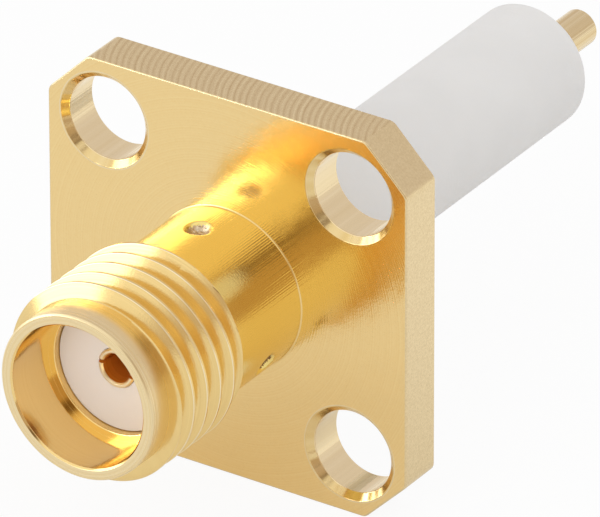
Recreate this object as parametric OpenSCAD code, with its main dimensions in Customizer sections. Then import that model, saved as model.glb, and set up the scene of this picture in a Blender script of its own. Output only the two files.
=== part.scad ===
// SMA jack for panel mounting: a square flange with four fixing holes, a threaded barrel with a
// socket contact, an extended dielectric rod and a round terminal pin.
//
// Frame: the origin is the centre of the flange's rear face, which seats on the panel.
// +Y runs along the axis from the mating end to the terminal pin, +Z is up, and all sizes are in mm.
// A place "behind" another lies further towards +Y.

/* [Flange] */
// Width and height of the square flange
flange_w = 12.7; // [11:0.1:16]
// Thickness of the flange
flange_t = 1.57; // [1.2:0.01:2.4]
// Leg of the 45 degree cut across each corner of the flange
corner_cut = 1.45; // [0.4:0.05:1.6]
// Distance from the flange's sides to the middle of each fixing hole
hole_inset = 2; // [2:0.01:2.2]
// Diameter of the fixing holes
hole_d = 2.7; // [2.2:0.05:2.75]
// Depth of the 45 degree edge at both mouths of each fixing hole
hole_edge = 0.2; // [0.05:0.01:0.25]

/* [Barrel] */
// Length from the flange's rear face to the mating end
front_l = 9.53; // [9.2:0.01:14]
// Diameter of the plain barrel between the flange and the thread
barrel_d = 5.3; // [5.1:0.02:5.6]
// Radius of the fillet where the barrel meets the flange
root_fillet = 0.05; // [0.02:0.01:0.3]
// Diameter of the plain nose in front of the thread
nose_d = 5.36; // [5.2:0.02:5.6]
// Length of the plain nose
nose_l = 0.85; // [0.4:0.05:1.4]
// Depth of the 45 degree break on the nose's front edge
nose_edge = 0.05; // [0.01:0.01:0.1]

/* [Thread] */
// Diameter over the thread's crests
thread_d = 6.25; // [6.1:0.01:6.5]
// Thread pitch, 36 turns to the inch
thread_pitch = 0.7056; // [0.68:0.0001:0.75]
// Depth of the thread from crest to root
thread_depth = 0.43; // [0.2:0.01:0.45]
// Number of grooves between the nose and the barrel
thread_turns = 5; // [1:1:5]
// Width of the first ridge's crest, which the nose cuts short
first_crest_w = 0.03; // [0.01:0.01:0.08]
// Steepness of the thread's rear end, in degrees from the axis
thread_end_angle = 70; // [30:5:80]

/* [Mating end] */
// Diameter of the bore that takes the plug's outer contact
mate_d = 4.6; // [4.4:0.01:4.7]
// Depth of that bore, from the mating end to the shoulder that the plug meets
mate_depth = 1.9; // [1.2:0.01:2.4]
// Depth of the 45 degree lead at the mouth of that bore
mate_edge = 0.06; // [0.02:0.01:0.1]

/* [Dielectric] */
// Diameter of the dielectric rod
rod_d = 4.1; // [3.9:0.01:4.25]
// Distance from the shoulder back to the rod's front face
rod_recess = 0.22; // [0:0.01:0.4]
// Length of the rod behind the flange's rear face
rod_rear_l = 15.3; // [2:0.1:30]
// Radius of the rod's rear edge
rod_edge = 0.18; // [0.05:0.01:0.4]

/* [Centre contact] */
// Outside diameter of the socket
socket_d = 1.27; // [1.24:0.01:1.4]
// Diameter of the hole in the socket
socket_bore = 0.94; // [0.85:0.01:0.98]
// Depth of the hole in the socket
socket_depth = 3; // [2.5:0.1:3.4]
// Distance from the shoulder back to the socket's front face
socket_recess = 0.15; // [0:0.01:0.4]
// Depth of the 45 degree edges on the socket's mouth, inside and out
socket_edge = 0.05; // [0.01:0.01:0.06]
// Width of the slot that splits the socket into two fingers
slot_w = 0.12; // [0.05:0.01:0.2]
// Length of that slot
slot_l = 2.2; // [0.5:0.1:2.4]
// Direction of the slot across the socket, turned from +X towards +Z
slot_turn = -12; // [-90:1:90]
// Diameter of the barb that locks the contact in the rod
barb_d = 1.75; // [1.5:0.05:2.2]
// Length of the barb
barb_l = 0.6; // [0.5:0.05:1]
// Diameter of the terminal pin
pin_d = 1.2; // [0.7:0.01:1.22]
// Length of the pin behind the rod's rear face
pin_l = 3; // [0.5:0.1:8]
// Depth of the 45 degree edge at the pin's tip
pin_edge = 0.15; // [0.05:0.01:0.3]

/* [Stakes] */
// Number of stake marks round the barrel, which lock the rod
stake_count = 3; // [2:1:4]
// Distance from the flange's front face forward to the middle of each stake mark
stake_y = 1.4; // [0.7:0.05:2]
// Diameter of a stake mark at the barrel's surface
stake_mouth_d = 0.84; // [0.65:0.01:1]
// Diameter of a stake mark's flat floor
stake_floor_d = 0.56; // [0.3:0.01:0.6]
// Depth of a stake mark
stake_depth = 0.28; // [0.1:0.01:0.34]
// Height of the bump that a stake mark raises into the rod
stake_bump = 0.12; // [0.04:0.01:0.2]

/* [Fits] */
// Radial gap between the rod and the shell
rod_clearance = 0.01; // [0.005:0.005:0.05]
// Radial gap between the contact and the rod
contact_clearance = 0.01; // [0.005:0.005:0.05]

/* [Hidden] */
$fn = 96;
edge_fn = 48;
gold = [0.88, 0.72, 0.42];
ptfe = [0.93, 0.92, 0.90];

// A cut runs past the surface that it opens by this much.
overcut = 0.2;

// Places along the axis, where the flange's rear face is at zero.
mating_end_y = -front_l;
flange_front_y = -flange_t;
shoulder_y = mating_end_y + mate_depth;
rod_front_y = shoulder_y + rod_recess;
socket_front_y = shoulder_y + socket_recess;
rod_rear_y = rod_rear_l;
pin_tip_y = rod_rear_y + pin_l;
stake_place_y = flange_front_y - stake_y;

// The barb sits behind the bottom of the socket's hole, by one wall's thickness.
socket_wall = (socket_d - socket_bore) / 2;
barb_y = socket_front_y + socket_depth + socket_wall;

// Thread form: 60 degrees between flanks, with a crest flat of an eighth of the pitch.
flank_l = thread_depth * tan(30);
crest_w = thread_pitch / 8;
root_w = thread_pitch - crest_w - 2 * flank_l;
crest_r = thread_d / 2;
thread_root_r = crest_r - thread_depth;
thread_start_y = mating_end_y + nose_l;
thread_end_y = thread_start_y + first_crest_w + thread_turns * thread_pitch;

// Spacing of the fixing holes, the same both ways.
hole_pitch = flange_w - 2 * hole_inset;

// Bore of the shell that holds the rod.
rod_bore_r = rod_d / 2 + rod_clearance;

// Turns a shape that was drawn along +Z so that it lies along +Y, starting at y.
module along_axis(y = 0) {
    translate([0, y, 0])
        rotate([-90, 0, 0])
            children();
}

// Places its children at each stake mark, with +Z pointing out of the barrel.
module at_stakes() {
    for (i = [0 : stake_count - 1])
        rotate([0, i * 360 / stake_count, 0])
            translate([0, stake_place_y, 0])
                children();
}

// One groove of the thread as radius and place: down a flank, along the root and up to the next crest.
function groove(y) = [
    [crest_r, y],
    [thread_root_r, y + flank_l],
    [thread_root_r, y + flank_l + root_w],
    [crest_r, y + 2 * flank_l + root_w]
];

// Half section of the barrel, from the axis at the mating end to the axis inside the flange.
function barrel_outline() = concat(
    [
        [0, mating_end_y],
        [nose_d / 2 - nose_edge, mating_end_y],
        [nose_d / 2, mating_end_y + nose_edge],
        [nose_d / 2, thread_start_y],
        [crest_r, thread_start_y]
    ],
    [
        for (i = [0 : thread_turns - 1])
            each groove(thread_start_y + first_crest_w + i * thread_pitch)
    ],
    [
        [crest_r, thread_end_y],
        [barrel_d / 2, thread_end_y + (crest_r - barrel_d / 2) / tan(thread_end_angle)],
        [barrel_d / 2, flange_front_y / 2],
        [0, flange_front_y / 2]
    ]
);

module barrel_blank() {
    along_axis()
        rotate_extrude()
            polygon(barrel_outline());
}

// Ring that fills the corner between the barrel and the flange with a concave fillet.
module barrel_fillet() {
    along_axis(flange_front_y)
        rotate_extrude()
            difference() {
                translate([barrel_d / 2 - root_fillet, -root_fillet])
                    square([2 * root_fillet, 2 * root_fillet]);
                translate([barrel_d / 2 + root_fillet, -root_fillet])
                    circle(r = root_fillet, $fn = edge_fn);
            }
}

// Square plate with its four corners cut off.
module flange_plate() {
    half = flange_w / 2;
    flat = half - corner_cut;
    along_axis(flange_front_y)
        linear_extrude(flange_t)
            polygon([
                [flat, half], [-flat, half], [-half, flat], [-half, -flat],
                [-flat, -half], [flat, -half], [half, -flat], [half, flat]
            ]);
}

// Through hole with a 45 degree edge at each mouth.
module fixing_hole() {
    along_axis(flange_front_y - overcut)
        cylinder(d = hole_d, h = flange_t + 2 * overcut);
    along_axis(flange_front_y - overcut)
        cylinder(d1 = hole_d + 2 * (hole_edge + overcut), d2 = hole_d, h = hole_edge + overcut);
    along_axis(-hole_edge)
        cylinder(d1 = hole_d, d2 = hole_d + 2 * (hole_edge + overcut), h = hole_edge + overcut);
}

module fixing_holes() {
    for (x = [-1, 1], z = [-1, 1])
        translate([x * hole_pitch / 2, 0, z * hole_pitch / 2])
            fixing_hole();
}

// Bore for the plug, and the longer bore that holds the rod.
module shell_bores() {
    along_axis(mating_end_y - overcut)
        cylinder(d = mate_d, h = mate_depth + overcut);
    along_axis(mating_end_y - overcut)
        cylinder(d1 = mate_d + 2 * (mate_edge + overcut), d2 = mate_d, h = mate_edge + overcut);
    along_axis(mating_end_y)
        cylinder(r = rod_bore_r, h = front_l + overcut);
}

// Punched pocket: a cone that narrows from the barrel's surface to a flat floor.
module stake_pocket() {
    slope = (stake_mouth_d - stake_floor_d) / 2 / stake_depth;
    reach = crest_r - barrel_d / 2 + overcut;
    translate([0, 0, barrel_d / 2 - stake_depth])
        cylinder(
            d1 = stake_floor_d,
            d2 = stake_mouth_d + 2 * slope * reach,
            h = stake_depth + reach
        );
}

// Bump that the punch raises inside the bore, grown by a gap where it shapes the rod's dent.
module stake_nub(gap = 0) {
    tip_r = stake_floor_d / 4 + gap;
    tip_z = rod_bore_r - stake_bump - gap;
    translate([0, 0, tip_z])
        cylinder(r1 = tip_r, r2 = tip_r + stake_bump + overcut, h = stake_bump + overcut);
}

// Flange and barrel, turned and milled from one piece of brass, then gold plated.
module shell() {
    color(gold)
        difference() {
            union() {
                difference() {
                    union() {
                        flange_plate();
                        barrel_blank();
                        barrel_fillet();
                    }
                    shell_bores();
                    fixing_holes();
                }
                at_stakes()
                    stake_nub();
            }
            at_stakes()
                stake_pocket();
        }
}

// Outline of the contact as cylinders and a cone, grown by a gap where it shapes the rod's bore.
// The barb's front is grown twice as much, so that the gap also holds along its slope.
module contact_form(front_y, gap = 0) {
    along_axis(front_y)
        cylinder(d = socket_d + 2 * gap, h = barb_y + barb_l - front_y);
    along_axis(barb_y - gap)
        cylinder(d1 = barb_d + 4 * gap, d2 = socket_d + 2 * gap, h = barb_l + gap);
    along_axis(front_y)
        cylinder(d = pin_d + 2 * gap, h = pin_tip_y - front_y);
}

// Rod of white PTFE: plain outside, with a rounded rear edge, stepped inside round the contact.
module insulator() {
    rod_l = rod_rear_y - rod_front_y;
    color(ptfe)
        difference() {
            along_axis(rod_front_y)
                rotate_extrude()
                    difference() {
                        square([rod_d / 2, rod_l]);
                        difference() {
                            translate([rod_d / 2 - rod_edge, rod_l - rod_edge])
                                square(2 * rod_edge);
                            translate([rod_d / 2 - rod_edge, rod_l - rod_edge])
                                circle(r = rod_edge, $fn = edge_fn);
                        }
                    }
            contact_form(rod_front_y - overcut, contact_clearance);
            at_stakes()
                stake_nub(rod_clearance);
        }
}

// Cone that takes the 45 degree edge off the front of the socket.
module socket_outer_edge() {
    difference() {
        along_axis(socket_front_y - overcut)
            cylinder(d = socket_d + 2 * overcut, h = overcut + socket_edge);
        along_axis(socket_front_y - overcut)
            cylinder(d1 = socket_d - 2 * (socket_edge + overcut), d2 = socket_d, h = overcut + socket_edge);
    }
}

// Cone that takes the 45 degree edge off the pin's tip.
module pin_tip_edge() {
    difference() {
        along_axis(pin_tip_y - pin_edge)
            cylinder(d = pin_d + 2 * overcut, h = pin_edge + overcut);
        along_axis(pin_tip_y - pin_edge)
            cylinder(d1 = pin_d, d2 = pin_d - 2 * (pin_edge + overcut), h = pin_edge + overcut);
    }
}

// Slotted socket, barb and terminal pin, turned from one beryllium copper rod and gold plated.
module centre_contact() {
    color(gold)
        difference() {
            contact_form(socket_front_y);
            along_axis(socket_front_y - overcut)
                cylinder(d = socket_bore, h = socket_depth + overcut);
            along_axis(socket_front_y - overcut)
                cylinder(
                    d1 = socket_bore + 2 * (socket_edge + overcut),
                    d2 = socket_bore,
                    h = socket_edge + overcut
                );
            socket_outer_edge();
            rotate([0, -slot_turn, 0])
                translate([-socket_d / 2 - overcut, socket_front_y - overcut, -slot_w / 2])
                    cube([socket_d + 2 * overcut, slot_l + overcut, slot_w]);
            pin_tip_edge();
        }
}

shell();
insulator();
centre_contact();
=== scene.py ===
import math

import bpy
import numpy as np
from mathutils import Matrix, Vector


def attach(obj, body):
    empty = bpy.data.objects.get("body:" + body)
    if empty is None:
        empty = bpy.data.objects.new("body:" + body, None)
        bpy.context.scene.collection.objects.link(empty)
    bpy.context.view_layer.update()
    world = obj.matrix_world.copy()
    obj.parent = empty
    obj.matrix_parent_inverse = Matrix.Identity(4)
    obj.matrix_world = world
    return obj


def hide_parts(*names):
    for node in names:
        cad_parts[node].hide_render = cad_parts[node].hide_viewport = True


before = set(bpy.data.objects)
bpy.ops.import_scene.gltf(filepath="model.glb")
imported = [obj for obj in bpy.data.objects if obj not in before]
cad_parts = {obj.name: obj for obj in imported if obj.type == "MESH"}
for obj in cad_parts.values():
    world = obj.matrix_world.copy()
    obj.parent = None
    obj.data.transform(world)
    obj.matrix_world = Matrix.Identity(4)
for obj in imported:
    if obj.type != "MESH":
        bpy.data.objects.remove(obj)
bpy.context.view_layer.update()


# Camera. The jack is seen from its mating end, from its right and from above, through a long lens, so
# that its edges stay almost parallel. It is made first, so that all the rest is judged in its view.
MM = 0.001
camera_azimuth = math.radians(33.28)
camera_elevation = math.radians(28.89)
camera_roll = math.radians(-0.1)
camera_distance = 395.4 * MM
aim_right, aim_up = 1.3197 * MM, 0.2171 * MM

right = Vector((math.cos(camera_azimuth), math.sin(camera_azimuth), 0))
back = Vector((
    math.sin(camera_azimuth) * math.cos(camera_elevation),
    -math.cos(camera_azimuth) * math.cos(camera_elevation),
    math.sin(camera_elevation),
))
up = back.cross(right)
place = right * aim_right + up * aim_up + back * camera_distance
camera = bpy.data.objects.new("camera", bpy.data.cameras.new("camera"))
bpy.context.scene.collection.objects.link(camera)
camera.data.sensor_width = 36
camera.data.lens = 796.2
camera.data.clip_start = 0.01
camera.data.clip_end = 20
camera.matrix_world = Matrix((
    (right.x, up.x, back.x, place.x),
    (right.y, up.y, back.y, place.y),
    (right.z, up.z, back.z, place.z),
    (0, 0, 0, 1),
)) @ Matrix.Rotation(camera_roll, 4, "Z")
bpy.context.scene.camera = camera


# Shell. The flange, barrel and thread are one piece of brass, turned from bar, milled square, drilled
# at its corners and gold plated. Three punch marks round the barrel lock the dielectric in it.
flange_w, flange_t, corner_cut = 12.7, 1.57, 1.45
flange_break, corner_round = 0.05, 0.32
hole_at, hole_r, hole_edge, hole_round = 4.35, 1.35, 0.20, 0.03
mating_end_y = -9.53
flange_front_y = -flange_t
barrel_r, root_fillet = 2.65, 0.05
nose_r, nose_l, nose_edge = 2.68, 0.85, 0.05
mate_r, mate_depth, mate_edge = 2.30, 1.90, 0.06
rod_bore_r, rear_break_r, rear_break_l = 2.06, 0.02, 0.03
crest_r, thread_pitch, thread_depth = 3.125, 0.7056, 0.43
first_crest, start_edge = 1.384, 0.03
thread_end, thread_end_slope = 4.25, math.radians(70)
run_out_start, run_out_end = 4.19, 4.50
stake_back, stake_mouth_r, stake_floor_r, stake_depth = 1.42, 0.46, 0.22, 0.24
theta = np.radians(np.arange(361))

# The stake on top of the barrel lies across the place where the turn starts and ends, so that it is
# given as seen from both ends.
stake_bearings = np.radians((-1.3, 118.6, 238.6, 358.7))

# The shell's finishes, numbered in the order in which its materials are added below.
TURNED_FACE, TURNED, NOSE, THREAD, CREST_SMOOTH_PAINTED_HIGHLIGHT, BORE, DRILLED, MILLED, PUNCHED, PUNCH_PAINTED_SHADE, SUNK = range(11)


def unit(v):
    """Each row of v divided by its length."""
    return v / np.maximum(np.linalg.norm(v, axis=-1, keepdims=True), 1e-12)


def rounded(points, radii, steps=4):
    """A polyline with its inner corners rounded, as (n, 2) rows.

    With a and b the directions from a corner to its neighbours and f half the angle between them, the
    arc of radius r is centred r / sin(f) along the bisector and leaves each side r / tan(f) from the
    corner. One more point stands half a radius further along each side, so that flats stay flat, and
    each corner gives steps + 3 points.
    """
    p = np.asarray(points, float)
    corner = p[1:-1]
    r = np.maximum(np.asarray(radii, float), 1e-5)[:, None]
    a, b = unit(p[:-2] - corner), unit(p[2:] - corner)
    f = np.arccos(np.clip((a * b).sum(1), -1, 1))[:, None] / 2
    reach = r / np.tan(f)
    centre = corner + unit(a + b) * r / np.sin(f)
    u0, u1 = (corner + a * reach - centre) / r, (corner + b * reach - centre) / r
    w = (np.pi - 2 * f)[:, None]
    s = np.linspace(0, 1, steps + 1)[None, :, None]
    turn = (np.sin((1 - s) * w) * u0[:, None] + np.sin(s * w) * u1[:, None]) / np.sin(w)
    arc = centre[:, None] + r[:, None] * turn
    ends = [corner + a * (reach + r / 2), corner + b * (reach + r / 2)]
    arc = np.concatenate([ends[0][:, None], arc, ends[1][:, None]], axis=1)
    return np.vstack([p[:1], arc.reshape(-1, 2), p[-1:]])


def lathe(radius, y, angle=theta):
    """A turned surface: x is radius times sin(angle), z is radius times cos(angle), y is as given."""
    radius, y = np.broadcast_arrays(radius, y)
    return np.stack([radius * np.sin(angle), y + 0 * angle, radius * np.cos(angle)], axis=-1)


def piece(name, sheets):
    """One closed mesh object from sheets, each a grid of places in mm with the number of its finish.

    The number stands for the whole sheet, or is a grid of one number for each of its squares.

    Neighbours on a grid are joined by two triangles. Places that agree to a millionth of a millimetre
    are one vertex, which sews the sheets together, and triangles that this flattens are dropped.
    """
    places, faces, finish = [], [], []
    start = 0
    for grid, number in sheets:
        rows, columns = grid.shape[:2]
        at = start + np.arange(rows * columns).reshape(rows, columns)
        a, b, c, d = at[:-1, :-1], at[:-1, 1:], at[1:, 1:], at[1:, :-1]
        faces.append(np.stack([a, b, c, a, c, d], axis=-1).reshape(-1, 3))
        finish.append(np.repeat(np.broadcast_to(number, (rows - 1, columns - 1)).ravel(), 2))
        places.append(grid.reshape(-1, 3))
        start += rows * columns
    places, faces, finish = np.vstack(places), np.vstack(faces), np.concatenate(finish)
    key = np.round(places * 1e6).astype(np.int64)
    _, first, same = np.unique(key, axis=0, return_index=True, return_inverse=True)
    faces = same.reshape(-1)[faces]
    whole = (faces != np.roll(faces, 1, axis=1)).all(axis=1)
    faces, finish = faces[whole], finish[whole]
    used, faces = np.unique(faces, return_inverse=True)
    faces = faces.reshape(-1, 3)
    mesh = bpy.data.meshes.new(name)
    mesh.vertices.add(len(used))
    mesh.vertices.foreach_set("co", (places[first[used]] * MM).ravel())
    mesh.loops.add(faces.size)
    mesh.loops.foreach_set("vertex_index", faces.ravel().astype(np.int32))
    mesh.polygons.add(len(faces))
    mesh.polygons.foreach_set("loop_start", np.arange(len(faces), dtype=np.int32) * 3)
    mesh.polygons.foreach_set("material_index", finish.astype(np.int32))
    mesh.polygons.foreach_set("use_smooth", np.ones(len(faces), bool))
    mesh.update(calc_edges=True)
    mesh.validate()
    mesh.set_sharp_from_angle(angle=math.radians(32))
    made = bpy.data.objects.new(name, mesh)
    bpy.context.scene.collection.objects.link(made)
    return made


def thread_form():
    """One pitch of the thread as (places, radii) from one groove's middle to the next.

    The crest is flat for an eighth of the pitch, its flanks stand at 60 degrees to each other, and the
    crest's edges and the groove's corners are slightly rounded.
    """
    crest, flank = thread_pitch / 16, thread_depth * math.tan(math.radians(30))
    root_r = crest_r - thread_depth
    form = rounded(
        [
            (-thread_pitch / 2, root_r),
            (-crest - flank, root_r),
            (-crest, crest_r),
            (crest, crest_r),
            (crest + flank, root_r),
            (thread_pitch / 2, root_r),
        ],
        [0.035, 0.018, 0.018, 0.035],
        steps=2,
    )
    return form[:, 0], form[:, 1]


form_at, form_r = thread_form()


def crest_middle(angle):
    """Distance behind the mating end of one crest's middle, which moves back a pitch in each turn."""
    return first_crest + thread_pitch * angle / (2 * np.pi)


def thread_radius(angle, behind):
    """Radius of the helical thread at an angle and a distance behind the mating end."""
    w = behind - crest_middle(angle)
    w = (w + thread_pitch / 2) % thread_pitch - thread_pitch / 2
    return np.interp(w, form_at, form_r)


def thread_sheet():
    """The helical thread. Its rows follow the crests, and end on a plane circle at each end."""
    turns = np.arange(-2, 5)
    rows = (turns[:, None] * thread_pitch + form_at[None, :]).ravel()[:, None]
    radii = np.tile(form_r, len(turns))[:, None]
    behind = crest_middle(theta)[None, :] + rows
    cut = np.clip(behind, nose_l + start_edge, run_out_start)
    radius = np.where(cut == behind, radii, thread_radius(theta[None, :], cut))
    halfway = (radii[1:] + radii[:-1]) / 2
    # The crest's edges are burnished smoother, and painted paler as a painted highlight.
    edge = (halfway > crest_r - 0.015) & (halfway < crest_r - 0.0005)
    return lathe(radius, mating_end_y + cut), np.where(edge, CREST_SMOOTH_PAINTED_HIGHLIGHT, THREAD)


def thread_start_sheet():
    """The step from the nose up to wherever the thread stands at each angle, with its edge rounded."""
    share = np.array([0, 0.02, 0.5, 0.93, 0.98, 1])[:, None]
    behind = nose_l + start_edge * np.array([0, 0, 0, 0.1, 0.4, 1])[:, None]
    top = thread_radius(theta, nose_l + start_edge)[None, :]
    return lathe(nose_r + (top - nose_r) * share, mating_end_y + behind + 0 * top)


def thread_end_sheet():
    """The thread's rear end, where the crests fall at 70 degrees to the barrel.

    A soft minimum of thread and slope, minus k times the logarithm of the sum of their exponentials,
    rounds the edge, and the barrel's own radius is the least that it can be.
    """
    k, row_count = 0.010, 16
    behind = np.linspace(run_out_start, run_out_end, row_count)[:, None]
    slope = crest_r - (behind - thread_end) * math.tan(thread_end_slope)
    thread = thread_radius(theta[None, :], behind)
    lower = np.minimum(thread, slope) - k * np.log1p(np.exp(-np.abs(thread - slope) / k))
    radius = np.maximum(lower, barrel_r)
    radius[0], radius[-1] = thread[0], barrel_r
    return lathe(radius, mating_end_y + behind + 0 * theta)


def barrel_sheet():
    """The plain barrel, with three round pockets pressed into it.

    With d the distance over the surface from a pocket's middle, it is sunk by the pocket's depth
    inside the floor's radius and by none outside the mouth's, with a smooth step s * s * (3 - 2 * s)
    between them. The floors of the two pockets on the lower half are painted dark brown: painted
    shade, for their place below the axis.
    """
    stake_y = flange_front_y - stake_back
    stake_reach, row_step, floor_from = 0.5, 0.036, 0.10
    fillet_y = flange_front_y - root_fillet
    y = np.concatenate([
        [mating_end_y + run_out_end, -4.2],
        np.arange(stake_y - stake_reach, stake_y + stake_reach, row_step),
        [-2.0, fillet_y - 0.02, fillet_y],
    ])[:, None]
    sunk = np.zeros((len(y), len(theta)))
    for middle in stake_bearings:
        d = np.hypot(barrel_r * (theta - middle)[None, :], y - stake_y)
        s = np.clip((stake_mouth_r - d) / (stake_mouth_r - stake_floor_r), 0, 1)
        sunk = np.maximum(sunk, stake_depth * s * s * (3 - 2 * s))
    halfway = (sunk[1:, 1:] + sunk[:-1, :-1]) / 2
    # Painted shade: the pocket floors below the axis take the dark brown finish, the one above it the
    # pale one.
    floor = np.where(np.cos(theta[1:]) > 0, PUNCHED, PUNCH_PAINTED_SHADE)[None, :]
    return lathe(barrel_r - sunk, y), np.where(halfway > floor_from, floor, TURNED)


def quadrant_outline(inset):
    """A quarter of the flange's outline, clockwise from the top's middle, moved in by an inset.

    Each corner is an arc about a centre that stays put, so the arc's radius shrinks by the inset.
    """
    half = flange_w / 2
    flat = half - corner_cut
    n = np.array([[0, 1], [math.sin(math.pi / 4), math.cos(math.pi / 4)], [1, 0]])
    tip = np.array([[flat, half], [half, flat]])
    centre = tip - (n[:2] + n[1:]) / (1 + (n[:2] * n[1:]).sum(1))[:, None] * corner_round
    turn = np.radians([[0, 15, 30, 45], [45, 60, 75, 90]])
    arcs = centre[:, None] + (corner_round - inset) * np.stack([np.sin(turn), np.cos(turn)], -1)
    s = np.linspace(0, 1, 26)[:-1, None]
    return np.vstack([
        (1 - s) * [0, half - inset] + s * arcs[0, 0],
        arcs[0],
        (arcs[0, -1] + np.linspace(0, 1, 14)[1:-1, None] * (arcs[1, 0] - arcs[0, -1])),
        arcs[1],
        (arcs[1, -1] + (1 - s[::-1]) * ([half - inset, 0] - arcs[1, -1])),
    ])


def quadrant_loop(inner_r, inset):
    """The boundary of a quarter of a flange face, round its hole: outline, side, arc and side."""
    outline = quadrant_outline(inset)
    arc = theta[90::-1]
    s = np.linspace(0, 1, 16)[1:-1, None]
    edge = flange_w / 2 - inset
    return np.vstack([
        outline,
        np.hstack([edge + (inner_r - edge) * s, 0 * s]),
        inner_r * np.stack([np.sin(arc), np.cos(arc)], -1),
        np.hstack([0 * s, inner_r + (edge - inner_r) * s]),
        outline[:1],
    ])


def quarter_turned(grid, quarter):
    """A grid turned about the barrel's axis by quarter turns: x becomes z and z becomes minus x."""
    for _ in range(quarter):
        grid = np.stack([grid[..., 2], grid[..., 1], -grid[..., 0]], -1)
    return grid


def on_plane(loop, y):
    """A loop of (x, z) rows as one row of places at y."""
    return np.stack([loop[:, 0], y + 0 * loop[:, 0], loop[:, 1]], -1)


def flange_sheets():
    """Flange faces, holes and sides, one quarter at a time.

    Each face is ruled between its hole's edge and the quarter's boundary, along lines that leave the
    hole at the boundary point's own bearing. The hole's profile is turned about the hole's middle. The
    side is the outline carried through the flange, moved in along a quarter circle at both edges.
    """
    front = quadrant_loop(barrel_r + root_fillet, flange_break)
    rear = quadrant_loop(rod_bore_r + rear_break_r, flange_break)
    middle = np.array([hole_at, hole_at])
    bearing = unit(front - middle)
    rim, land, margin = hole_r + hole_edge, 0.06, 0.02
    profile = rounded(
        [
            (rim + land, 0),
            (rim, 0),
            (hole_r, -hole_edge),
            (hole_r, flange_front_y + hole_edge),
            (rim, flange_front_y),
            (rim + land, flange_front_y),
        ],
        [hole_round] * 4,
        steps=3,
    )
    halfway = (profile[1:, 0] + profile[:-1, 0])[:, None] / 2
    chamfer = (halfway > hole_r + margin) & (halfway < rim + margin)
    ring = middle + bearing * profile[:, 0][:, None, None]
    hole = np.stack([ring[..., 0], profile[:, 1][:, None] + 0 * ring[..., 0], ring[..., 1]], -1)
    faces = []
    for loop, y, edge in ((rear, 0.0, hole[0]), (front, flange_front_y, hole[-1])):
        boundary = on_plane(loop, y)
        near_boundary = boundary + margin * unit(edge - boundary)
        faces.append(np.stack([edge, (edge + boundary) / 2, near_boundary, boundary]))
    turn = np.linspace(0, np.pi / 2, 5)
    inset = np.append(flange_break * (1 - np.sin(turn)), 0)
    drop = np.append(flange_break * (1 - np.cos(turn)), 0.08)
    front_rows = [on_plane(quadrant_outline(i), flange_front_y + d) for i, d in zip(inset, drop)]
    rear_rows = [on_plane(quadrant_outline(i), -d) for i, d in zip(inset, drop)]
    side = np.stack(front_rows + rear_rows[::-1])
    sheets = []
    for quarter in range(4):
        sheets += [
            (quarter_turned(faces[1], quarter), TURNED_FACE),
            (quarter_turned(faces[0][::-1], quarter), TURNED_FACE),
            (quarter_turned(hole, quarter), np.where(chamfer, SUNK, DRILLED)),
            (quarter_turned(side, quarter), MILLED),
        ]
    return sheets


shoulder_y = mating_end_y + mate_depth
mating_profile = rounded(
    [
        (rod_bore_r, -rear_break_l),
        (rod_bore_r, shoulder_y),
        (mate_r, shoulder_y),
        (mate_r, mating_end_y + mate_edge),
        (mate_r + mate_edge, mating_end_y),
        (nose_r - nose_edge, mating_end_y),
        (nose_r, mating_end_y + nose_edge),
        (nose_r, mating_end_y + nose_l),
    ],
    [0.045, 0.004, 0.03, 0.03, 0.03, 0.03],
    steps=3,
)
# Six points to a corner: the bore's finish ends in the middle of the fourth corner, at the mouth.
mouth_row = 1 + 3 * 6 + 2
mating_surface = lathe(mating_profile[:, :1], mating_profile[:, 1:])
fillet_turn = np.linspace(0, np.pi / 2, 5)[:, None]
fillet = lathe(
    barrel_r + root_fillet * (1 - np.cos(fillet_turn)),
    flange_front_y - root_fillet * (1 - np.sin(fillet_turn)),
)
rear_edge = lathe(
    np.array([[rod_bore_r + rear_break_r], [rod_bore_r]]),
    np.array([[0.0], [-rear_break_l]]),
)
shell = piece("gold_shell", [
    (mating_surface[:mouth_row + 1], BORE),
    (mating_surface[mouth_row:], NOSE),
    (thread_start_sheet(), THREAD),
    thread_sheet(),
    (thread_end_sheet(), THREAD),
    barrel_sheet(),
    (fillet, THREAD),
    (rear_edge, BORE),
] + flange_sheets())


def linear(hex_colour):
    """An sRGB hex colour as linear RGBA: v / 12.92 up to 0.04045, else ((v + 0.055) / 1.055) ** 2.4."""
    v = np.array([int(hex_colour[i:i + 2], 16) for i in (1, 3, 5)]) / 255
    return tuple(np.where(v <= 0.04045, v / 12.92, ((v + 0.055) / 1.055) ** 2.4)) + (1.0,)


def new_material(name):
    """An empty node material and its output node."""
    made = bpy.data.materials.new(name)
    made.use_nodes = True
    made.node_tree.nodes.clear()
    return made, made.node_tree.nodes.new("ShaderNodeOutputMaterial")


def add(tree, kind, settings=None, **sockets):
    """A node with its settings and inputs. An input, by name or as i and its number, is a value or the
    socket that feeds it."""
    node = tree.nodes.new(kind)
    for key, value in (settings or {}).items():
        setattr(node, key, value)
    for key, value in sockets.items():
        numbered = key[0] == "i" and key[1:].isdigit()
        into = node.inputs[int(key[1:]) if numbered else key.replace("_", " ")]
        if isinstance(value, bpy.types.NodeSocket):
            tree.links.new(value, into)
        else:
            into.default_value = value
    return node


def vector_maths(tree, operation, a, b=(0, 0, 0)):
    """One step of arithmetic on vectors, as a node."""
    return add(tree, "ShaderNodeVectorMath", {"operation": operation}, i0=a, i1=b)


def own_place(tree):
    """The surface's own place in metres, as a vector."""
    return add(tree, "ShaderNodeTexCoord").outputs["Object"]


def place_mm(tree, kept=(1, 1, 1)):
    """The surface's own place in millimetres, as a vector, with each axis kept or dropped."""
    scale = tuple(share / MM for share in kept)
    return vector_maths(tree, "MULTIPLY", own_place(tree), scale).outputs[0]


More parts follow.
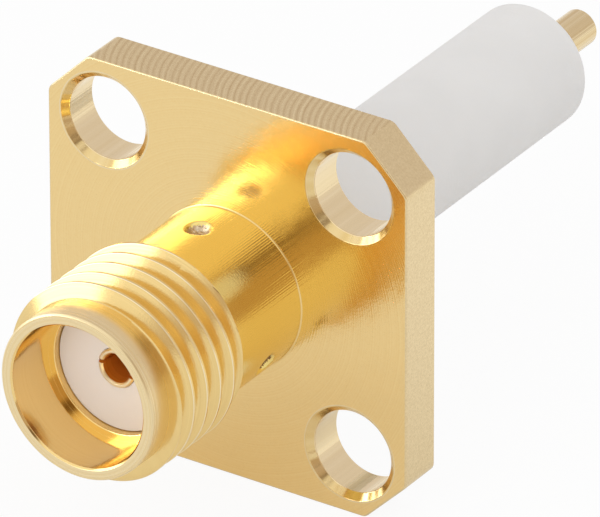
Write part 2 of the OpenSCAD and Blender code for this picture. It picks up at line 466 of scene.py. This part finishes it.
def axes_mm(tree):
    """The surface's own place in millimetres, as the sockets X, Y and Z."""
    return add(tree, "ShaderNodeSeparateXYZ", Vector=place_mm(tree)).outputs


def maths(tree, operation, a, b=0.0, c=0.0):
    """One step of arithmetic on sockets or numbers."""
    return add(tree, "ShaderNodeMath", {"operation": operation}, i0=a, i1=b, i2=c).outputs[0]


def radius_mm(tree):
    """Distance from the barrel's axis in millimetres, the length of (x, 0, z)."""
    return vector_maths(tree, "LENGTH", place_mm(tree, (1, 0, 1))).outputs["Value"]


def bearing_of(tree, at):
    """The angle about the barrel's axis, from the top towards the right, of a place's X and Z."""
    return maths(tree, "ARCTAN2", at["X"], at["Z"])


def lines(tree, along, pitch, detail=2.0):
    """Tool marks as a height from 0 to 1: noise along one measure in mm, drawn out across it."""
    return add(
        tree, "ShaderNodeTexNoise", {"noise_dimensions": "1D"},
        W=maths(tree, "DIVIDE", along, pitch), Scale=1.0, Detail=detail, Roughness=0.6,
    ).outputs["Fac"]


def feed_marks(tree, along, pitch, evenness=0.5):
    """Even feed marks: a sine of the measure over the pitch, mixed with the noise of lines()."""
    wave = maths(tree, "SINE", maths(tree, "MULTIPLY", along, 2 * math.pi / pitch))
    wave = maths(tree, "MULTIPLY_ADD", wave, 0.5, 0.5)
    rest = maths(tree, "MULTIPLY", lines(tree, along, pitch), 1 - evenness)
    return maths(tree, "ADD", maths(tree, "MULTIPLY", wave, evenness), rest)


def grain(tree, size, detail=3.0):
    """Fine plated grain as a height from 0 to 1, with lumps about this many mm across."""
    return add(
        tree, "ShaderNodeTexNoise", {"noise_dimensions": "3D"},
        Vector=place_mm(tree), Scale=1 / size, Detail=detail, Roughness=0.55,
    ).outputs["Fac"]


def blend(tree, share, low, high):
    """A colour between two colours, by a share from 0 to 1."""
    return add(tree, "ShaderNodeMix", {"data_type": "RGBA"}, i0=share, i6=low, i7=high).outputs[2]


def ramp(tree, value, start, end, low, high):
    """A value carried in a straight line from one range to another, and held at both ends."""
    return add(tree, "ShaderNodeMapRange", i0=value, i1=start, i2=end, i3=low, i4=high).outputs[0]


def bump(tree, height, depth, below=None):
    """A bent normal for a height from 0 to 1 and a depth in mm, on top of another bent normal."""
    bent = add(tree, "ShaderNodeBump", Strength=1.0, Distance=depth * MM, Height=height)
    if below is not None:
        tree.links.new(below, bent.inputs["Normal"])
    return bent.outputs[0]


def gold_plate(name, colour, shade, roughness, marks):
    """Gold plate over worked brass.

    marks is a function of the tree that gives a list of (height, depth in mm). The heights bend the
    surface by bump, and the first of them also darkens its grooves from one colour to the other and
    makes them rougher.
    """
    made, out = new_material(name)
    tree = made.node_tree
    skin = add(tree, "ShaderNodeBsdfPrincipled", Metallic=1.0)
    heights = marks(tree)
    main = heights[0][0]
    bent = None
    for height, depth in heights:
        bent = bump(tree, height, depth, bent)
    tint = blend(tree, main, linear(shade), linear(colour))
    dullness = ramp(tree, main, 0.2, 0.8, roughness * 1.25, roughness * 0.8)
    tree.links.new(tint, skin.inputs["Base Color"])
    tree.links.new(dullness, skin.inputs["Roughness"])
    tree.links.new(bent, skin.inputs["Normal"])
    tree.links.new(skin.outputs[0], out.inputs[0])
    return made


def face_marks(tree):
    """Turned rings round the axis 0.085 mm apart, with the plate's grain and a slow wander."""
    rings = maths(tree, "MULTIPLY", feed_marks(tree, radius_mm(tree), 0.085, 0.25), 0.55)
    height = maths(tree, "MULTIPLY_ADD", grain(tree, 0.08), 0.45, rings)
    return [(height, 0.0042), (grain(tree, 1.4, 2.0), 0.018)]


def barrel_marks(tree):
    """Chatter lines along the barrel, 0.077 mm apart and strongest at the flange, and turning marks."""
    at = axes_mm(tree)
    turn = maths(tree, "MULTIPLY", bearing_of(tree, at), barrel_r)
    near_flange = ramp(tree, at["Y"], -4.2, -1.6, 0.15, 1.0)
    chatter = maths(tree, "MULTIPLY", feed_marks(tree, turn, 0.077, 0.3), near_flange)
    return [(chatter, 0.0085), (lines(tree, at["Y"], 0.05), 0.0007), (grain(tree, 0.09), 0.0050)]


def nose_marks(tree):
    """Coarser turning marks of the plain end, 0.06 mm apart. They lie across the measure y + r, which
    grows along the nose's side and across its end face alike."""
    across = maths(tree, "ADD", axes_mm(tree)["Y"], radius_mm(tree))
    return [(lines(tree, across, 0.06), 0.0050), (grain(tree, 0.05), 0.0015)]


def thread_marks(tree):
    """Marks of the threading tool, which run with the helix: y less the helix's own advance."""
    at = axes_mm(tree)
    advance = maths(tree, "MULTIPLY", bearing_of(tree, at), thread_pitch / (2 * math.pi))
    helix = maths(tree, "SUBTRACT", at["Y"], advance)
    return [(lines(tree, helix, 0.045), 0.0007), (grain(tree, 0.06), 0.0024)]


def bore_marks(tree):
    """Boring marks, almost polished out."""
    return [(lines(tree, axes_mm(tree)["Y"], 0.08), 0.0005), (grain(tree, 0.6, 2.0), 0.003)]


def round_hole(tree):
    """The way round the nearest hole in mm: its radius times the angle about its middle."""
    folded = vector_maths(tree, "ABSOLUTE", place_mm(tree)).outputs[0]
    at = add(tree, "ShaderNodeSeparateXYZ", Vector=folded).outputs
    across = maths(tree, "SUBTRACT", at["X"], hole_at)
    upward = maths(tree, "SUBTRACT", at["Z"], hole_at)
    return maths(tree, "MULTIPLY", maths(tree, "ARCTAN2", across, upward), hole_r)


def drill_marks(tree):
    """Drilled walls, a little out of round, with marks round each hole every 0.06 mm of depth."""
    flats = lines(tree, round_hole(tree), 0.30)
    rings = lines(tree, axes_mm(tree)["Y"], 0.06)
    return [(flats, 0.016), (rings, 0.0012), (grain(tree, 0.12), 0.0015)]


def sink_marks(tree):
    """Chatter of the countersink, flats about 0.35 mm apart round each hole's edge."""
    return [(lines(tree, round_hole(tree), 0.35, 0.0), 0.045), (grain(tree, 0.07), 0.0020)]


def mill_marks(tree):
    """Arcs of a side cutter of 3.8 mm radius on the top and bottom, and a sandy grain on the rest.

    The arcs' measure is the way along the side, plus the square root of the cutter's radius squared
    minus the distance from the cutter's middle squared. The middle ran 0.5 mm behind the flange and
    moved on 0.22 mm at each turn. Each groove is narrow, a low power of a sine.
    """
    cutter_r, cutter_y, step = 3.8, 0.5, 0.22
    at = axes_mm(tree)
    off = maths(tree, "SUBTRACT", at["Y"], cutter_y)
    bow = maths(tree, "SQRT", maths(tree, "SUBTRACT", cutter_r ** 2, maths(tree, "MULTIPLY", off, off)))
    arcs = maths(tree, "ADD", at["X"], bow)
    wave = maths(tree, "SINE", maths(tree, "MULTIPLY", arcs, 2 * math.pi / step))
    wave = maths(tree, "MULTIPLY_ADD", wave, 0.5, 0.5)
    groove = maths(tree, "MULTIPLY", maths(tree, "POWER", wave, 0.5), 0.3)
    groove = maths(tree, "MULTIPLY_ADD", lines(tree, arcs, 0.08), 0.4, groove)
    groove = maths(tree, "MULTIPLY_ADD", grain(tree, 0.07), 0.45, groove)
    top = maths(tree, "GREATER_THAN", maths(tree, "ABSOLUTE", at["Z"]), flange_w / 2 - 0.01)
    sand = maths(tree, "MULTIPLY_ADD", grain(tree, 0.07), 0.5, 0.45)
    height = add(tree, "ShaderNodeMix", {"data_type": "FLOAT"}, i0=top, i2=sand, i3=groove).outputs[0]
    return [(height, 0.0060), (grain(tree, 0.06), 0.0026)]


def punch_marks(tree):
    """The crumpled floor that a punch leaves."""
    return [(grain(tree, 0.15), 0.080), (grain(tree, 0.05), 0.006)]


# Hard gold reflects nearly all red, most green and little blue, so that light which bounces twice
# between two faces comes back orange. What each finish gives the eye: the turned face is satin with
# faint rings, the barrel a soft mirror, the nose paler and duller, the thread a row of soft bands with
# a bright line on each crest, whose edges are burnished smoother and also painted paler as a painted
# highlight, the bore almost a mirror, the drilled walls pale streaks, the milled sides sandy and brown
# in their arcs, the stakes crumpled, the two below the axis painted dark brown as painted shade, and
# the countersinks broken into flats. Real tool marks are finer than 0.05 mm and would vanish from
# here, so they are drawn coarser.
for name, colour, shade, roughness, marks in (
    ("gold_plate_turned_face", "#FBE1A5", "#F3D08E", 0.15, face_marks),
    ("gold_plate_turned_barrel", "#F9E190", "#F4D986", 0.16, barrel_marks),
    ("gold_plate_turned_nose", "#FAE7BC", "#E8CE98", 0.31, nose_marks),
    ("gold_plate_cut_thread", "#F9DD9A", "#EBCA86", 0.17, thread_marks),
    # Burnished crest edges: smoother, and painted paler as a painted highlight.
    ("gold_plate_crest_burnished_and_painted_highlight", "#FDEFCC", "#FBE8BC", 0.08, bore_marks),
    ("gold_plate_bored", "#F9DB97", "#F4D38C", 0.12, bore_marks),
    ("gold_plate_drilled", "#FBE8C0", "#EED6A6", 0.13, drill_marks),
    ("gold_plate_milled", "#FAE6B8", "#B6925C", 0.28, mill_marks),
    ("gold_plate_punched", "#F6E8D2", "#BC9C6C", 0.26, punch_marks),
    # Painted shade: the floors of the pockets below the axis are painted dark brown.
    ("gold_plate_punched_painted_shade", "#B8925E", "#5A3A18", 0.30, punch_marks),
    ("gold_plate_countersunk", "#F8E2AE", "#E2C07A", 0.20, sink_marks),
):
    shell.data.materials.append(gold_plate(name, colour, shade, roughness, marks))
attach(shell, "root")
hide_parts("shell")


# Insulator. One rod of white PTFE, turned from bar and pushed into the barrel from behind. It is bored
# for the contact, with a wider place for the contact's barb. PTFE is waxy, matte and a little milky.
# Its closed profile starts and ends on its side.
rod_r, rod_front_y, rod_rear_y, rod_edge = 2.05, -7.41, 15.30, 0.18
seam_y = 4.0
socket_r, pin_r, barb_r, barb_y, barb_l, gap = 0.635, 0.60, 0.875, -4.315, 0.60, 0.01
rod_profile = rounded(
    [
        (rod_r, seam_y),
        (rod_r, rod_rear_y),
        (pin_r + gap, rod_rear_y),
        (pin_r + gap, barb_y + barb_l),
        (socket_r + gap, barb_y + barb_l),
        (barb_r + 2 * gap, barb_y - gap),
        (socket_r + gap, barb_y - gap),
        (socket_r + gap, rod_front_y),
        (rod_r, rod_front_y),
        (rod_r, seam_y),
    ],
    [rod_edge, 0.03, 0.002, 0.002, 0.002, 0.002, 0.02, 0.04],
    steps=8,
)
rod_steps = np.radians(np.arange(0, 361, 3))
insulator = piece("ptfe_rod", [(lathe(rod_profile[:, :1], rod_profile[:, 1:], rod_steps), 0)])

# To the eye it is a soft, slightly warm white with hardly any gloss. Its front face is painted
# warmer, a painted warm light for the light that the gold around it throws on it. The turning marks
# are drawn 0.11 mm apart, coarser than real, so that they show.
ptfe, ptfe_output = new_material("white_ptfe_turned")
nodes = ptfe.node_tree
along_rod = axes_mm(nodes)["Y"]
turned = lines(nodes, along_rod, 0.11)
white = blend(nodes, grain(nodes, 2.2, 2.0), linear("#E1DFDD"), linear("#E9E7E5"))
# Painted warm light on the front face, for the light that the gold throws on it.
painted_gold_light_at_front = ramp(nodes, along_rod, -7.6, -7.0, 1.0, 0.0)
ptfe_skin = add(
    nodes, "ShaderNodeBsdfPrincipled",
    Base_Color=blend(nodes, painted_gold_light_at_front, white, linear("#F2E5DB")),
    Roughness=ramp(nodes, turned, 0.2, 0.8, 0.62, 0.52),
    Normal=bump(nodes, grain(nodes, 0.12), 0.004, bump(nodes, turned, 0.0022)),
    IOR=1.36,
    Specular_IOR_Level=0.15,
    Subsurface_Weight=0.25,
    Subsurface_Radius=(1.0, 0.9, 0.8),
    Subsurface_Scale=0.5 * MM,
)
nodes.links.new(ptfe_skin.outputs[0], ptfe_output.inputs[0])
insulator.data.materials.append(ptfe)
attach(insulator, "root")
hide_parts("insulator")


# Centre contact. One beryllium copper pin, turned, drilled and slotted at the mating end, so that its
# two fingers spring on the plug's pin, and gold plated all over. A barb locks it in the rod.
socket_front_y, socket_bore_r, socket_depth, socket_edge = -7.48, 0.47, 3.0, 0.05
slot_half, slot_l, slot_turn = 0.06, 2.2, math.radians(-12)
pin_tip_y, pin_edge = 18.30, 0.15
finger_steps = 48

# The contact's finishes, numbered in the order in which its materials are added below.
CONTACT_FACE, DEEP_BORE, PIN = range(3)


def finger(slot_at):
    """Half of the slotted socket: its closed profile carried from one slot face to the other.

    At radius r a slot face stands asin(half the slot's width / r) from the slot's middle plane, so that
    the two faces are flat and parallel. Both ends are ruled from the profile's bore to its outside, so
    the two points in the middle of the flat tip, which would make them thin as a line, are left out.
    """
    end_y = socket_front_y + slot_l
    half = rounded(
        [
            (socket_bore_r, end_y),
            (socket_bore_r, socket_front_y + socket_edge),
            (socket_bore_r + socket_edge, socket_front_y),
            (socket_r - socket_edge, socket_front_y),
            (socket_r, socket_front_y + socket_edge),
            (socket_r, end_y),
        ],
        [0.015] * 4,
        steps=3,
    )
    half = np.delete(half, [len(half) // 2 - 1, len(half) // 2], axis=0)
    loop = np.vstack([half, half[:1]])
    start = np.arcsin(slot_half / loop[:, :1])
    share = np.linspace(0, 1, finger_steps + 1)[None, :]
    bearing = slot_at + start + share * (np.pi - 2 * start)
    wall = lathe(loop[:, :1], loop[:, 1:], bearing)
    inner, outer = np.arange(len(half) // 2), np.arange(len(half) - 1, len(half) // 2 - 1, -1)
    first = np.stack([wall[inner, 0], wall[outer, 0]])
    last = np.stack([wall[outer, -1], wall[inner, -1]])
    return [(wall[:2], DEEP_BORE), (wall[1:], CONTACT_FACE), (first, DEEP_BORE), (last, DEEP_BORE)]


slot_bearing = math.pi / 2 - slot_turn
contact_profile = rounded(
    [
        (0, socket_front_y + socket_depth),
        (socket_bore_r, socket_front_y + socket_depth),
        (socket_bore_r, socket_front_y + slot_l),
        (socket_r, socket_front_y + slot_l),
        (socket_r, barb_y),
        (barb_r, barb_y),
        (socket_r, barb_y + barb_l),
        (pin_r, barb_y + barb_l),
        (pin_r, pin_tip_y - pin_edge),
        (pin_r - pin_edge, pin_tip_y),
        (0, pin_tip_y),
    ],
    [0.02, 0.005, 0.005, 0.01, 0.01, 0.01, 0.01, 0.03, 0.04],
    steps=3,
)
contact_steps = np.radians(np.arange(0, 361, 5))
body = lathe(contact_profile[:, :1], contact_profile[:, 1:], contact_steps)

# Six points to a corner: the bore's finish ends in the middle of the second corner, at the fingers.
finger_row = 1 + 6 + 2
contact = piece("gold_contact", [
    (body[:finger_row + 1], DEEP_BORE),
    (body[finger_row:], PIN),
] + finger(slot_bearing) + finger(slot_bearing + math.pi))


def pin_marks(tree):
    """Die lines of the drawn bar, which run along the pin, and faint turning marks across them."""
    at = axes_mm(tree)
    turn = maths(tree, "MULTIPLY", bearing_of(tree, at), pin_r)
    return [(lines(tree, turn, 0.16), 0.030), (lines(tree, at["Y"], 0.05), 0.0006)]


# To the eye the face is a pale, dull ring and the pin a bright rod with long streaks. Light that leaves
# so deep and narrow a hole has met its gold walls many times and is orange-brown, so that the bore
# takes that colour itself, with little metal in it.
face_plate = gold_plate("gold_plate_contact_face", "#FBEBCC", "#F6E2B8", 0.38, bore_marks)
bore_plate = gold_plate("gold_plate_deep_bore", "#EE9A38", "#D47C1C", 0.45, bore_marks)
bore_plate.node_tree.nodes["Principled BSDF"].inputs["Metallic"].default_value = 0.2
pin_plate = gold_plate("gold_plate_pin", "#FCEDC6", "#D2B074", 0.16, pin_marks)
for plate in (face_plate, bore_plate, pin_plate):
    contact.data.materials.append(plate)
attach(contact, "root")
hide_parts("centre_contact")


# Studio. The jack stands on the bottom edge of its flange on a white table, in a white room. A large
# soft lamp with a hot heart stands at its left, which only the gold mirrors, and a soft fill in front
# of it, which only matte surfaces take. The camera's own side of the room is dim.
def towards(azimuth, elevation):
    """The direction at an azimuth, turned from the mating end towards the right, and an elevation."""
    a, e = math.radians(azimuth), math.radians(elevation)
    return Vector((math.sin(a) * math.cos(e), -math.cos(a) * math.cos(e), math.sin(e)))


def seen_share(tree):
    """One for camera, glossy and transmission rays, and nothing for those that light matte things."""
    rays = add(tree, "ShaderNodeLightPath").outputs
    either = maths(tree, "MAXIMUM", rays["Is Camera Ray"], rays["Is Glossy Ray"])
    return maths(tree, "MAXIMUM", either, rays["Is Transmission Ray"])


# The table is a square of 4 m, a hair under the flange's bottom edge.
table_half, table_z = 2.0, (-flange_w / 2 - 0.01) * MM
table_mesh = bpy.data.meshes.new("white_table")
table_sides = ((-1, -1), (1, -1), (1, 1), (-1, 1))
table_corners = [(x * table_half, y * table_half, table_z) for x, y in table_sides]
table_mesh.from_pydata(table_corners, [], [(0, 1, 2, 3)])
table = bpy.data.objects.new("white_table", table_mesh)
bpy.context.scene.collection.objects.link(table)

# The eye sees the table as nearly pure white with a faint shadow. In the gold it shows a painted
# glow, dimmer in front of the jack than behind it as painted shade, and the light that falls on it is
# all that it gives to matte surfaces.
table_top, table_output = new_material("white_table_top")
nodes = table_top.node_tree
matte = add(nodes, "ShaderNodeBsdfDiffuse", Color=(0.85, 0.85, 0.85, 1))
glow = add(nodes, "ShaderNodeEmission", Color=(1, 1, 1, 1), Strength=1.0)
# Painted glow in reflections, dimmer in front of the jack as painted shade.
glow_painted_dim_in_front = ramp(nodes, axes_mm(nodes)["Y"], 1.0, 12.0, 0.22, 0.80)
mirrored = maths(nodes, "MULTIPLY", seen_share(nodes), glow_painted_dim_in_front)
by_camera = add(nodes, "ShaderNodeLightPath").outputs["Is Camera Ray"]
glow_share = add(nodes, "ShaderNodeMix", {"data_type": "FLOAT"}, i0=by_camera, i2=mirrored, i3=0.92)
mixed = add(
    nodes, "ShaderNodeMixShader",
    i0=glow_share.outputs[0], i1=matte.outputs[0], i2=glow.outputs[0],
)
nodes.links.new(mixed.outputs[0], table_output.inputs[0])
table.data.materials.append(table_top)

world = bpy.data.worlds.new("white_room")
bpy.context.scene.world = world
world.use_nodes = True
nodes = world.node_tree
nodes.nodes.clear()
level = ramp(nodes, seen_share(nodes), 0.0, 1.0, 0.90, 1.0)
room = add(nodes, "ShaderNodeBackground", Color=(1, 1, 1, 1), Strength=level)
add(nodes, "ShaderNodeOutputWorld", Surface=room.outputs[0])


def soft_lamp(name, azimuth, elevation, distance, width, height, brightness):
    """A flat lamp that faces the jack, in metres. Its power is brightness times pi times area."""
    lamp = bpy.data.lights.new(name, "AREA")
    lamp.shape, lamp.size, lamp.size_y = "RECTANGLE", width, height
    lamp.energy = brightness * math.pi * width * height
    made = bpy.data.objects.new(name, lamp)
    bpy.context.scene.collection.objects.link(made)
    away = towards(azimuth, elevation)
    facing = away.to_track_quat("Z", "Y").to_matrix().to_4x4()
    made.matrix_world = Matrix.Translation(away * distance) @ facing
    made.visible_camera = False
    return made


left_lamp = soft_lamp("left_lamp", -57, 9, 0.50, 0.54, 0.42, 1.8)
heart = soft_lamp("left_lamp_heart", -42, -7, 0.48, 0.12, 0.12, 36.0)
left_lamp.visible_diffuse = heart.visible_diffuse = False
front_fill = soft_lamp("front_fill", 0, 20, 0.50, 0.30, 0.30, 2.2)
front_fill.visible_glossy = False


def room_patch(name, azimuth, elevation, spread, core, colour, distance):
    """A soft patch of the room's wall at a distance in mm, as only reflections see it.

    Its cover is full within the core's angle of its middle and fades to nothing at the spread's. Its
    mesh is a cap of a ball round the jack: the axis times the cosine of the lean, plus the way out from
    it times the sine.
    """
    axis = towards(azimuth, elevation)
    across = axis.orthogonal().normalized()
    other = axis.cross(across)
    turn = np.radians(np.arange(0, 361, 10))[None, :, None]
    lean = np.radians(np.linspace(0, spread, 12))[:, None, None]
    out_way = np.cos(turn) * np.array(across) + np.sin(turn) * np.array(other)
    grid = distance * (np.cos(lean) * np.array(axis) + np.sin(lean) * out_way)
    patch = piece(name, [(grid, 0)])
    made, out = new_material(name)
    tree = made.node_tree
    here = vector_maths(tree, "NORMALIZE", own_place(tree)).outputs[0]
    facing = vector_maths(tree, "DOT_PRODUCT", here, tuple(axis)).outputs["Value"]
    cover = add(
        tree, "ShaderNodeMapRange", {"interpolation_type": "SMOOTHSTEP"}, i0=facing,
        i1=math.cos(math.radians(spread)), i2=math.cos(math.radians(core)), i3=0.0, i4=1.0,
    )
    clear = add(tree, "ShaderNodeBsdfTransparent")
    tone = add(tree, "ShaderNodeEmission", Color=linear(colour), Strength=1.0)
    shown = add(
        tree, "ShaderNodeMixShader",
        i0=cover.outputs[0], i1=clear.outputs[0], i2=tone.outputs[0],
    )
    tree.links.new(shown.outputs[0], out.inputs[0])
    patch.data.materials.append(made)
    patch.visible_camera = patch.visible_diffuse = patch.visible_shadow = False
    return patch


room_patch("camera_side", 42, 10, 44, 12, "#C4B2A2", 300)
room_patch("dark_middle_of_room", 31, 31, 11, 3, "#75624C", 290)
room_patch("right_side", 90, 0, 40, 20, "#E6DAC8", 310)
room_patch("back_wall", 180, 32, 66, 36, "#DFDADB", 340)

bpy.context.scene.view_settings.view_transform = "Standard"
